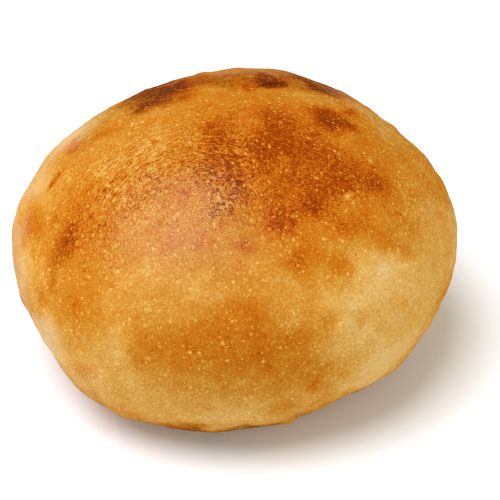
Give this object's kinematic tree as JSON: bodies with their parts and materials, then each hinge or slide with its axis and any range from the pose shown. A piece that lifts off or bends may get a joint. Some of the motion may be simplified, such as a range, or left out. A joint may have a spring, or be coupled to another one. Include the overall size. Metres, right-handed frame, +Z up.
{
  "type": "pampushka bun",
  "caption": "Small round baked yeast bun with a golden, browned and blistered crust and a flat foot.",
  "frame": {"origin": "on the table, under the middle of the bun", "axes": "+Z up out of the crown, +X to the bun's right, -Y to its front"},
  "size_m": [0.0846, 0.0814, 0.0534],
  "materials": {
    "crust": "satin"
  },
  "bodies": {
    "root": {"bun": "crust"}
  },
  "joints": []
}
